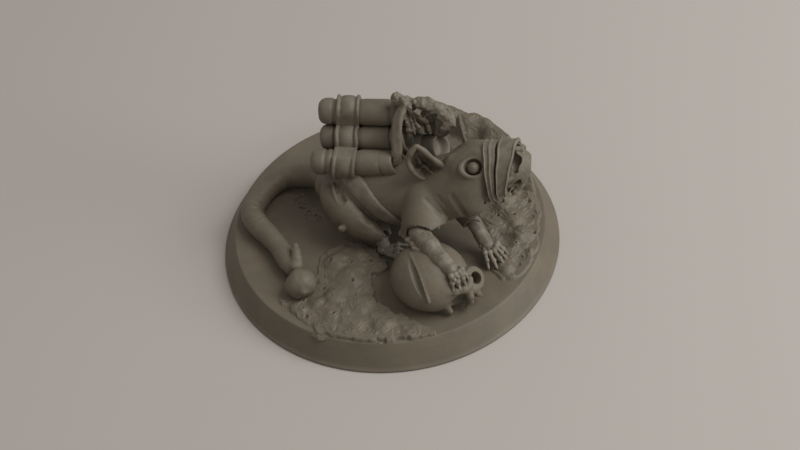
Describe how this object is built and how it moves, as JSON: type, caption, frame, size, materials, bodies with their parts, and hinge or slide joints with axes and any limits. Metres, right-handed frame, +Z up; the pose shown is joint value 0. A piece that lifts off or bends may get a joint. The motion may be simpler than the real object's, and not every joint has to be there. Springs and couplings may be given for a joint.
{
  "type": "resin-printed rat miniature on a round base",
  "caption": "Grey resin-printed tabletop miniature of a ragged giant rat with a strapped bundle of fuse sticks on its back and a forepaw on a big skull, on a round scenic base.",
  "frame": {"origin": "centre of the round base's flat underside", "axes": "+X the way the rat faces, +Y the rat's left side, +Z up from the table"},
  "size_m": [0.04, 0.04, 0.0195],
  "materials": {
    "base": "unpainted cured resin, matt, faint layer lines",
    "ground": "unpainted cured resin, matt, faint layer lines",
    "hide": "unpainted cured resin, matt, faint layer lines",
    "bone": "unpainted cured resin, matt, faint layer lines",
    "bands": "unpainted cured resin, matt, faint layer lines",
    "sticks": "unpainted cured resin, matt, faint layer lines",
    "fuses": "unpainted cured resin, matt, faint layer lines",
    "skull": "unpainted cured resin, matt, faint layer lines"
  },
  "bodies": {
    "root": {"base_plinth": "base", "scenic_floor": "ground", "rubble_front": "ground", "mound_back": "ground", "pebble": "ground", "torso": "hide", "tail": "hide", "head": "hide", "eye_right": "hide", "eye_left": "hide", "ear_right": "hide", "ear_left": "hide", "muzzle_band_rear": "bands", "muzzle_band_front": "bands", "snout_end": "hide", "chin_tuft": "hide", "thigh_right": "hide", "thigh_left": "hide", "shin_right": "bone", "shin_left": "bone", "hind_foot_right": "bone", "hind_foot_left": "bone", "sleeve_right": "hide", "sleeve_left": "hide", "forearm_right": "bone", "forearm_left": "bone", "paw_right": "bone", "paw_left": "bone", "girth_strap": "bands", "bundle_strap": "bands", "stick_1": "sticks", "stick_2": "sticks", "stick_3": "sticks", "stick_4": "sticks", "stick_5": "sticks", "fuse_cord": "fuses", "fuse_knot": "fuses", "fuse_sleeve": "fuses", "skull": "skull"}
  },
  "joints": []
}
